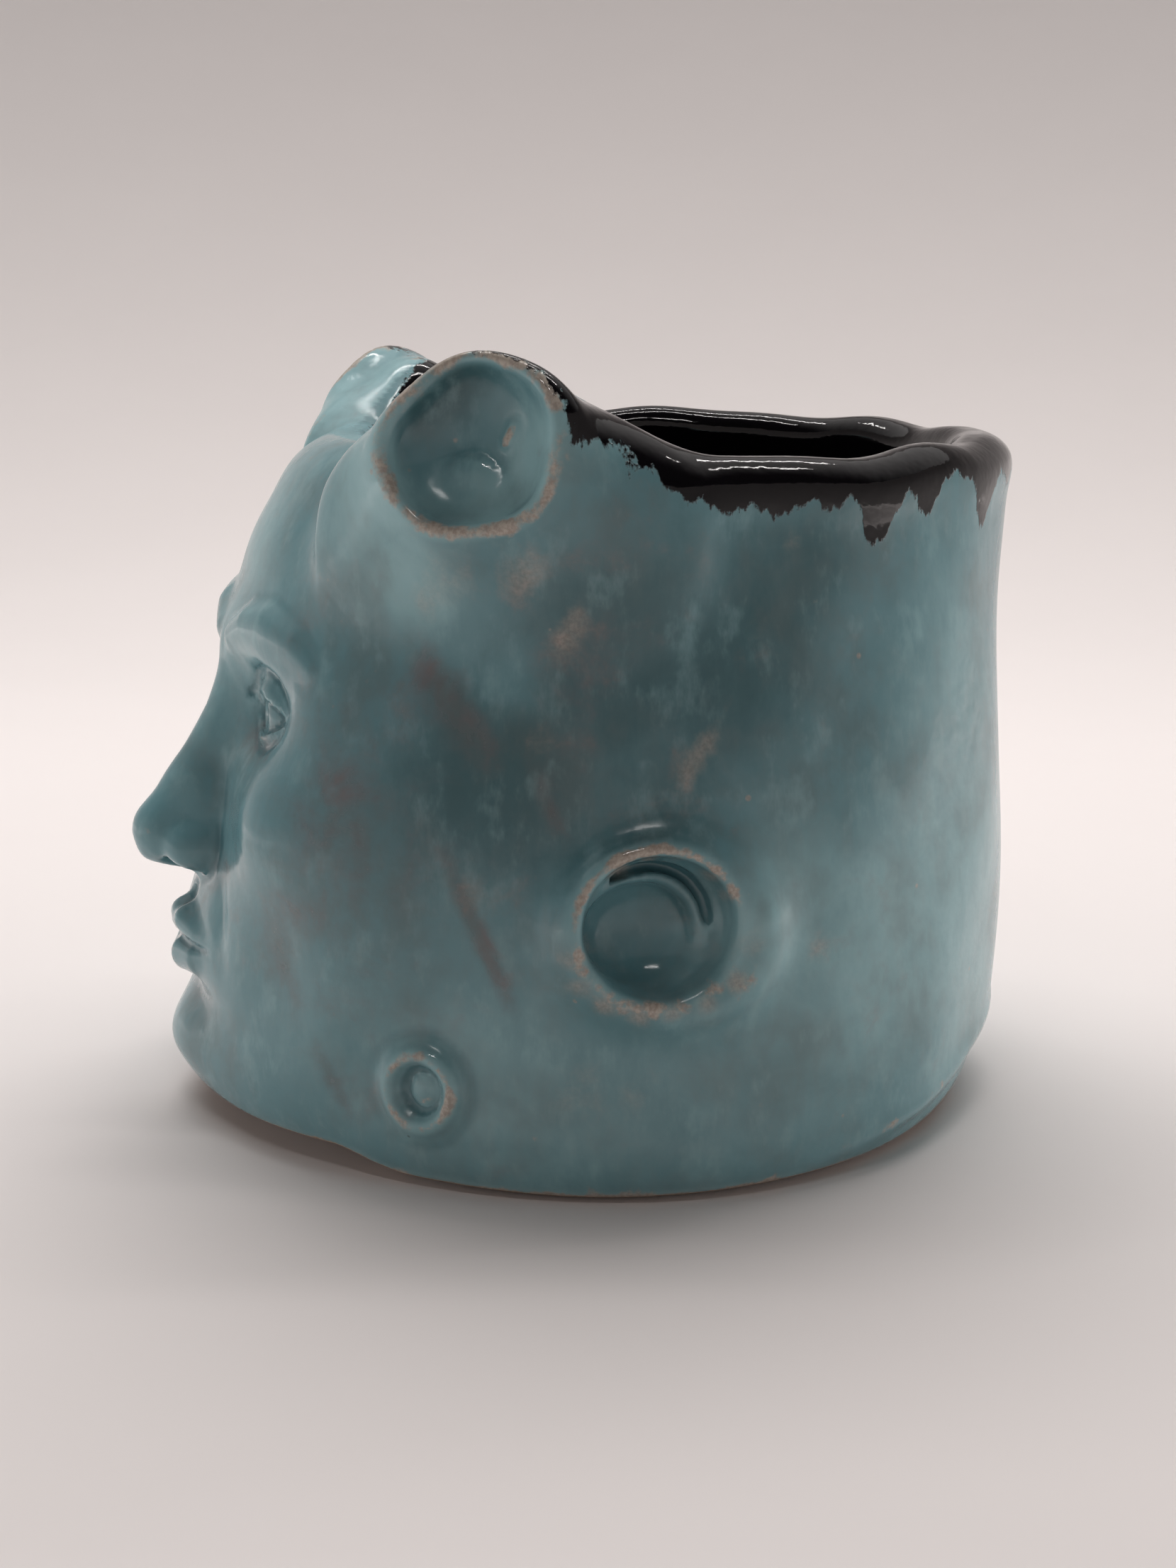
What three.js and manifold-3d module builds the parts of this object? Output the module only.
// A hand-built stoneware face mug, in millimetres, +Z up. The foot stands on z = 0, the upright of
// the lower wall is the Z axis, and the face looks along -Y. A bearing is an angle round that axis in
// degrees: 0 is the face, and +90 is the head's own left side, at +X.
//
// It is the bench assembly of the separate pieces of clay that a potter scores and slips together: a
// floor, a rolled wall, a face slab with its features, dished horn stubs, ear cups and jaw rings, and
// the black liner glaze. Each later piece is carved to sit against those already on the bench.
import * as THREE from "three";
import { mergeVertices } from "three/addons/utils/BufferGeometryUtils.js";
import Module from "manifold-3d";

const wasm = await Module();
wasm.setup();

const { clamp, degToRad, radToDeg, smoothstep, lerp } = THREE.MathUtils;

// ---- Driving dimensions ----------------------------------------------------------------------------
const JOINT_GAP = 0.3; // the film of slip between two pieces of clay

// Body
const FOOT_RADIUS = 43.5;
const BELLY_RADIUS = 47.5;
const RIM_RADIUS = 41.5;
const BELLY_Z = 8; // the rounded foot corner ends here
const RIM_Z = 78.6; // mean height of the lip
const TAPER_POWER = 1.7; // above 1, the wall stays upright low down and leans in near the lip
const FLOOR_TOP = 7;
const WALL_THICKNESS = 5.2;
const FACE_PRESS = 4; // how far the wall behind the face is pushed in
const FACE_PRESS_SPREAD = 38; // degrees
const AROUND = 60; // facets round the mug

// Lip: it climbs behind the horns and waves a little at the back
const HORN_RISE = 6.5;
const HORN_RISE_SPREAD = 15; // degrees
const LIP_WAVE = 0.45;

// Horns, ears and jaw rings: bearing in degrees, height of the middle, and tilt above the horizon. A
// horn's dish is turned a little further to the side than the place on the wall where it stands.
const HORN = { bearing: 52, z: 79, tilt: 8, radius: 10.7, length: 8.6, bowl: 8.7, bowlDepth: 6.2 };
const HORN_FACING = 58;
const EAR = { bearing: 83, z: 29.5, radius: 10.6, height: 3.4, bowl: 7.5, tall: 0.92 };
const JAW_RING = { bearing: 51.5, z: 11.6, radius: 3.3, thickness: 1.15 };

// Face: a chin-to-hairline height in three equal thirds, five eye widths across
const CHIN_Z = 4;
const HAIRLINE_Z = 80;
const THIRD = (HAIRLINE_Z - CHIN_Z) / 3;
const NOSE_BASE_Z = CHIN_Z + THIRD;
const BROW_Z = CHIN_Z + 2 * THIRD;
const HEAD_HEIGHT = 3.5 * THIRD;
const EYE_Z = CHIN_Z + HEAD_HEIGHT / 2;
const EYE_WIDTH = (HEAD_HEIGHT * 2) / 3 / 5;
const MOUTH_Z = NOSE_BASE_Z - THIRD / 3;
const EYEBALL_RADIUS = EYE_WIDTH / 2;
const FACE_SLAB = { z: 39.5, halfHeight: 37, halfWidth: 50, thickness: 5.4 }; // half width in degrees

// Liner glaze
const GLAZE_THICKNESS = 0.7;
const GLAZE_BAND = 3; // how far it comes down outside the lip, between drips
// Drips: [bearing, half width in degrees, extra length]
const DRIPS = [
  [67.5, 2.6, 3.6],
  [92, 17, 2.4],
  [111, 5, 5.5],
  [121, 4, 3.6],
  [138.5, 4.5, 5.4],
  [163, 6, 3],
  [180, 4, 5],
  [-161, 5, 2.6],
  [-139, 5, 6],
  [-118, 8, 3.4],
  [-99, 4.5, 5.2],
  [-80, 5, 2.6],
  [5, 4, 2.4],
];

// ---- Colours --------------------------------------------------------------------------------------
const celadon = { color: 0x6f9ba6, roughness: 0.2, metalness: 0 };
const materialOf = {
  celadon: () => new THREE.MeshStandardMaterial(celadon),
  stainedCeladon: () => new THREE.MeshStandardMaterial({ ...celadon, color: 0x6b8389 }),
  blackGlaze: () => new THREE.MeshStandardMaterial({ color: 0x0e0d10, roughness: 0.12, metalness: 0 }),
};

// ---- The body's shape -----------------------------------------------------------------------------
const bump = (distance, spread) => Math.exp(-((distance / spread) ** 2));
const wrapped = (bearing) => ((((bearing + 180) % 360) + 360) % 360) - 180;

function bodyRadius(z) {
  const up = Math.max(0, (z - BELLY_Z) / (RIM_Z - BELLY_Z));
  return BELLY_RADIUS - (BELLY_RADIUS - RIM_RADIUS) * up ** TAPER_POWER;
}

// The back of the wall is upright, so the middle of each level moves back as the radius shrinks.
const levelMiddle = (z) => BELLY_RADIUS - bodyRadius(z);

function outerRadius(bearing, z) {
  const drop = clamp(1 - z / BELLY_Z, 0, 1);
  const corner = (BELLY_RADIUS - FOOT_RADIUS) * (1 - Math.sqrt(1 - drop * drop));
  const press = FACE_PRESS * bump(wrapped(bearing), FACE_PRESS_SPREAD) * smoothstep(z, 0, 16);
  return bodyRadius(z) - corner - press;
}

// The point that stands `depth` proud of the outer wall, at a bearing and height.
function onWall(bearing, depth, z) {
  const angle = degToRad(bearing);
  const r = outerRadius(bearing, z) + depth;
  return new THREE.Vector3(r * Math.sin(angle), levelMiddle(z) - r * Math.cos(angle), z);
}

function lipHeight(bearing) {
  const b = wrapped(bearing);
  const climb = HORN_RISE * bump(Math.abs(b) - HORN.bearing, HORN_RISE_SPREAD);
  const wave = Math.cos(degToRad(3 * (b - 150))) + Math.cos(degToRad(2 * (b - 50)));
  return RIM_Z + climb + LIP_WAVE * wave * smoothstep(Math.abs(b), 80, 110);
}

const dripLength = (bearing) =>
  GLAZE_BAND + Math.max(...DRIPS.map(([at, half, extra]) => extra * bump(wrapped(bearing - at), half)));

// ---- Making solids --------------------------------------------------------------------------------
function solidOf(geometry) {
  const bare = geometry.index ? geometry.toNonIndexed() : geometry.clone();
  bare.deleteAttribute("normal");
  bare.deleteAttribute("uv");
  const merged = mergeVertices(bare, 1e-4);
  const mesh = new wasm.Mesh({
    numProp: 3,
    vertProperties: merged.attributes.position.array,
    triVerts: new Uint32Array(merged.index.array),
  });
  return new wasm.Manifold(mesh);
}

function geometryOf(solid) {
  const mesh = solid.getMesh();
  return new THREE.BufferGeometry()
    .setAttribute("position", new THREE.BufferAttribute(new Float32Array(mesh.vertProperties), 3))
    .setIndex(new THREE.BufferAttribute(new Uint32Array(mesh.triVerts), 1));
}

// Where a cut leaves crumbs, only the main body is kept.
const mainBody = (solid) => solid.decompose().reduce((a, b) => (b.volume() > a.volume() ? b : a));

// A lathe form whose profile points follow the mug's own wall: each is (bearing) => a Vector3.
function turned(profile) {
  const blank = profile.map((_, i) => new THREE.Vector2(1, i));
  const geometry = new THREE.LatheGeometry(blank, AROUND);
  const position = geometry.attributes.position;
  for (let i = 0; i < position.count; i++) {
    const bearing = (360 * (Math.floor(i / profile.length) % AROUND)) / AROUND;
    const p = profile[i % profile.length](bearing);
    position.setXYZ(i, p.x, p.y, p.z);
  }
  return geometry;
}

// A lump of clay: an ellipsoid whose long ends lie along X. `arch` drops its two ends and `wrap` turns
// them back round the head.
function lump([rx, ry, rz], { arch = 0, wrap = 0, grow = 0, around = 12, along = 10 } = {}) {
  const geometry = new THREE.SphereGeometry(1, around, along).rotateZ(Math.PI / 2);
  geometry.scale(rx + grow, ry + grow, rz + grow);
  const position = geometry.attributes.position;
  for (let i = 0; i < position.count; i++) {
    const t = position.getX(i) / rx;
    position.setY(i, position.getY(i) + wrap * t * t);
    position.setZ(i, position.getZ(i) - arch * t * t);
  }
  return geometry;
}

// Puts a geometry whose outward side is -Y at a point, facing along a bearing.
function placed(geometry, at, { bearing = 0, tilt = 0, roll = 0 } = {}) {
  const turn = new THREE.Euler(degToRad(-tilt), degToRad(roll), degToRad(bearing), "ZXY");
  const whole = new THREE.Matrix4().makeRotationFromEuler(turn).setPosition(at);
  return geometry.applyMatrix4(whole);
}

// A point `forward` of the wall, straight ahead of it, at a distance x from the face's middle line.
function ahead(x, z, forward) {
  const bearing = radToDeg(Math.asin(x / outerRadius(0, z)));
  const wall = onWall(bearing, 0, z);
  return new THREE.Vector3(x, wall.y - forward, z);
}

const sideBearing = (x, z) => radToDeg(Math.asin(x / bodyRadius(z)));

// ---- Floor, wall and liner ------------------------------------------------------------------------
const axisPoint = (z) => () => new THREE.Vector3(0, levelMiddle(z), z);

function floorSlab(grow) {
  const top = FLOOR_TOP + grow;
  return turned([
    axisPoint(-grow),
    (b) => onWall(b, grow - 2, -grow),
    (b) => onWall(b, grow, 0),
    (b) => onWall(b, grow, 1),
    (b) => onWall(b, grow, 2.6),
    (b) => onWall(b, grow, 4.8),
    (b) => onWall(b, grow, top),
    axisPoint(top),
  ]);
}

function wallSlab(grow) {
  const base = FLOOR_TOP + JOINT_GAP - grow;
  const inside = -WALL_THICKNESS - grow;
  const clayLip = (b) => lipHeight(b) - GLAZE_THICKNESS - JOINT_GAP + grow;
  const level = (share, depth) => (b) => onWall(b, depth, lerp(base, clayLip(b) - 3, share));
  const outside = [0, 0.18, 0.36, 0.54, 0.7, 0.86, 1].map((share) => level(share, grow));
  const over = [
    (b) => onWall(b, grow - 0.9, clayLip(b) - 0.8),
    (b) => onWall(b, -WALL_THICKNESS / 2, clayLip(b)),
    (b) => onWall(b, inside + 0.9, clayLip(b) - 0.8),
  ];
  const within = [1, 0.7, 0.36, 0].map((share) => level(share, inside));
  return turned([...outside, ...over, ...within, outside[0]]);
}

function blackGlaze() {
  const film = JOINT_GAP;
  const skin = film + GLAZE_THICKNESS;
  const clayLip = (b) => lipHeight(b) - skin;
  // One side of the glaze, from the floor up, over the lip and down to the drips, `off` from the clay.
  const side = (off) => {
    const inner = -WALL_THICKNESS - off;
    const outside = (share) => (b) => onWall(b, off, clayLip(b) - 3 - (dripLength(b) - 2) * share);
    return [
      (b) => onWall(b, inner - 4, FLOOR_TOP + off),
      (b) => onWall(b, inner - 1, FLOOR_TOP + off + 1.2),
      (b) => onWall(b, inner, FLOOR_TOP + off + 5),
      (b) => onWall(b, inner, lerp(FLOOR_TOP, clayLip(b), 0.6)),
      (b) => onWall(b, inner, clayLip(b) - 3),
      (b) => onWall(b, inner + 0.9, clayLip(b) - 0.8 + off),
      (b) => onWall(b, -WALL_THICKNESS / 2, clayLip(b) + off),
      (b) => onWall(b, off - 0.9, clayLip(b) - 0.8 + off),
      outside(0),
      outside(0.5),
      outside(1),
    ];
  };
  const [under, top] = [axisPoint(FLOOR_TOP + film), axisPoint(FLOOR_TOP + skin)];
  return turned([under, ...side(film), ...side(skin).reverse(), top]);
}

// ---- Cups and rings -------------------------------------------------------------------------------
// A lathe form whose axis points out of the wall, from [radius, distance out] pairs.
function outwardLathe(pairs, segments) {
  const points = pairs.map(([r, out]) => new THREE.Vector2(r, out));
  return new THREE.LatheGeometry(points, segments).rotateX(Math.PI);
}

function hornCup(grow) {
  const { radius, length, bowl, bowlDepth } = HORN;
  const floor = length - bowlDepth;
  const profile = [
    [0, -4 - grow],
    [radius + 2.6 + grow, -4 - grow],
    [radius + 1.4 + grow, 0],
    [radius + 0.4 + grow, 3.6],
    [radius + grow, length - 1.8],
    [radius - 0.8 + grow, length - 0.4 + grow],
    [bowl + 0.7 - grow, length + grow],
    [bowl - grow, length - 0.9 + grow],
    [bowl - 0.9 - grow, floor + 2.6 + grow],
    [bowl - 3.4 - grow, floor + 0.6 + grow],
    [0, floor + grow],
  ];
  const at = onWall(HORN.bearing, 0, HORN.z);
  return placed(outwardLathe(profile, 26), at, { bearing: HORN_FACING, tilt: HORN.tilt });
}

function earCup(grow) {
  const { radius, height, bowl, tall } = EAR;
  const profile = [
    [0, -2 - grow],
    [radius + grow, -2 - grow],
    [radius + grow, 0.4],
    [radius - 1.5 + grow, height - 0.7 + grow],
    [bowl + 0.9, height + grow],
    [bowl - grow, height - 0.8 + grow],
    [bowl - 1.8 - grow, 1.6 + grow],
    [bowl - 3.8 - grow, 0.9 + grow],
    [0, 0.7 + grow],
  ];
  const form = outwardLathe(profile, 26).scale(1, 1, tall);
  return placed(form, onWall(EAR.bearing, 0, EAR.z), EAR);
}

// The crescent of clay that hoods the upper back of the ear's hollow.
function earFold(grow) {
  const form = lump([5.6, 1.1, 1.3], { arch: 3.2, grow });
  const at = onWall(EAR.bearing + 1.5, 2.2, EAR.z + 4.6);
  return placed(form, at, { bearing: EAR.bearing + 1.5, roll: -14 });
}

function jawRing(grow) {
  const { radius, thickness, bearing, z } = JAW_RING;
  const form = new THREE.TorusGeometry(radius, thickness + grow, 8, 18).rotateX(Math.PI / 2);
  return placed(form, onWall(bearing, 0.5, z), JAW_RING);
}

function jawButton(grow) {
  const form = lump([1.7, 0.9, 1.7], { grow, around: 10, along: 8 });
  return placed(form, onWall(JAW_RING.bearing, 0.4, JAW_RING.z), JAW_RING);
}

// ---- Face -----------------------------------------------------------------------------------------
const eyeSocket = (grow) =>
  placed(lump([EYEBALL_RADIUS + 1.6, 3.4, 5], { grow: -grow }), ahead(EYE_WIDTH, EYE_Z, 5.6), {
    bearing: sideBearing(EYE_WIDTH, EYE_Z),
  });

function faceSlab(grow) {
  const { z, halfHeight, halfWidth, thickness } = FACE_SLAB;
  const geometry = new THREE.SphereGeometry(1, 32, 12).rotateX(Math.PI / 2);
  const position = geometry.attributes.position;
  for (let i = 0; i < position.count; i++) {
    const across = position.getX(i);
    const up = position.getY(i);
    const out = position.getZ(i);
    const flattened = Math.sign(out) * Math.abs(out) ** 0.8;
    const depth = flattened * (out > 0 ? thickness + grow : 2);
    const p = onWall(across * (halfWidth + grow), depth, z + up * (halfHeight + grow));
    position.setXYZ(i, p.x, p.y, p.z);
  }
  const socket = solidOf(eyeSocket(grow));
  return geometryOf(solidOf(geometry).subtract(socket).subtract(socket.mirror([1, 0, 0])));
}

function eyeball(grow) {
  const r = EYEBALL_RADIUS;
  return placed(lump([r, r, r], { grow, around: 14 }), ahead(EYE_WIDTH, EYE_Z, -1.8));
}

function eyelid(grow, upper) {
  const width = EYE_WIDTH / 2 + 0.8;
  const arch = upper ? 2.4 : -1.9;
  const form = lump([width, 1.3, upper ? 1.3 : 1], { arch, wrap: 2.2, grow });
  const at = ahead(EYE_WIDTH, EYE_Z + (upper ? 2.9 : -3), 4.6);
  return placed(form, at, { bearing: sideBearing(EYE_WIDTH, EYE_Z) });
}

function brow(grow) {
  const form = lump([EYE_WIDTH + 0.5, 2.5, 2.5], { arch: 3.2, wrap: 2.4, grow });
  return placed(form, ahead(EYE_WIDTH, BROW_Z + 1.6, 5), { bearing: sideBearing(EYE_WIDTH, BROW_Z), roll: 4 });
}

function nose(grow) {
  const part = (radii, x, z, forward) => solidOf(placed(lump(radii, { grow }), ahead(x, z, forward)));
  const ridge = wasm.Manifold.hull([
    part([2, 1.6, 2], 0, BROW_Z - 3, 4),
    part([4.2, 4, 4], 0, NOSE_BASE_Z + 3.9, 9.6),
    part([3.4, 1.6, 3], 0, NOSE_BASE_Z + 8, 4),
  ]);
  const base = wasm.Manifold.hull([
    part([2.4, 3, 2.8], 4.4, NOSE_BASE_Z + 2.8, 6.4),
    part([2.4, 3, 2.8], -4.4, NOSE_BASE_Z + 2.8, 6.4),
    part([3, 3, 2.6], 0, NOSE_BASE_Z + 2.8, 9),
  ]);
  const body = ridge.add(base);
  if (grow) return geometryOf(body);
  const nostrils = [-1, 1].map((side) =>
    solidOf(placed(lump([1.5, 2.2, 2]), ahead(side * 2.7, NOSE_BASE_Z - 0.2, 8.6))),
  );
  return geometryOf(body.subtract(nostrils[0]).subtract(nostrils[1]));
}

function cheek(grow) {
  const x = 1.75 * EYE_WIDTH;
  const z = NOSE_BASE_Z + 6;
  return placed(lump([8.6, 3.2, 8], { grow }), ahead(x, z, 3.4), { bearing: sideBearing(x, z), roll: 16 });
}

function upperLip(grow) {
  const form = lump([0.85 * EYE_WIDTH, 2.6, 2], { arch: 1, wrap: 2.6, grow });
  return placed(form, ahead(0, MOUTH_Z + 1.9, 5.8));
}

function lowerLip(grow) {
  const form = lump([0.68 * EYE_WIDTH, 2.6, 2.3], { arch: -0.9, wrap: 2, grow });
  return placed(form, ahead(0, MOUTH_Z - 2.5, 5.4));
}

const chin = (grow) => placed(lump([9, 3.6, 5.2], { wrap: 1.4, grow }), ahead(0, CHIN_Z + 5.2, 3.2));

// ---- The bench ------------------------------------------------------------------------------------
// Every piece in the order it is laid on. A mirrored piece is made on the left and repeated on the right.
// A piece is carved clear of those before it, except the ones it is `fitted` to by its own shape.
const pieces = [
  { name: "floor_slab", shape: floorSlab, material: "celadon" },
  { name: "wall_slab", shape: wallSlab, material: "celadon" },
  { name: "horn_cup", shape: hornCup, material: "celadon", mirrored: true },
  { name: "ear_cup", shape: earCup, material: "celadon", mirrored: true },
  { name: "ear_fold", shape: earFold, material: "celadon", mirrored: true },
  { name: "jaw_ring", shape: jawRing, material: "celadon", mirrored: true },
  { name: "jaw_button", shape: jawButton, material: "celadon", mirrored: true },
  { name: "face_slab", shape: faceSlab, material: "stainedCeladon" },
  { name: "eyeball", shape: eyeball, material: "stainedCeladon", mirrored: true },
  { name: "upper_eyelid", shape: (g) => eyelid(g, true), material: "stainedCeladon", mirrored: true },
  { name: "lower_eyelid", shape: (g) => eyelid(g, false), material: "stainedCeladon", mirrored: true },
  { name: "nose", shape: nose, material: "stainedCeladon" },
  { name: "brow", shape: brow, material: "stainedCeladon", mirrored: true },
  { name: "cheek_pad", shape: cheek, material: "stainedCeladon", mirrored: true },
  { name: "upper_lip", shape: upperLip, material: "stainedCeladon" },
  { name: "lower_lip", shape: lowerLip, material: "stainedCeladon" },
  { name: "chin_pad", shape: chin, material: "stainedCeladon" },
  { name: "black_glaze", shape: blackGlaze, material: "blackGlaze", fitted: ["floor_slab", "wall_slab"] },
];

const mug = new THREE.Group();
const laid = []; // what is on the bench already, each grown by the joint gap

for (const { name, shape, material, mirrored, fitted = [] } of pieces) {
  let solid = solidOf(shape(0));
  for (const neighbour of laid) {
    if (!fitted.includes(neighbour.name)) solid = solid.subtract(neighbour.grown);
  }
  const geometry = geometryOf(mainBody(solid));
  const sides = mirrored ? ["left_", "right_"] : [""];
  for (const side of sides) {
    const mesh = new THREE.Mesh(geometry, materialOf[material]());
    mesh.name = side + name;
    mesh.scale.x = side === "right_" ? -1 : 1;
    mug.add(mesh);
  }
  if (name === "black_glaze") continue; // nothing is laid on the glaze
  const grown = solidOf(shape(JOINT_GAP));
  laid.push({ name, grown });
  if (mirrored) laid.push({ name, grown: grown.mirror([1, 0, 0]) });
}

export default mug;
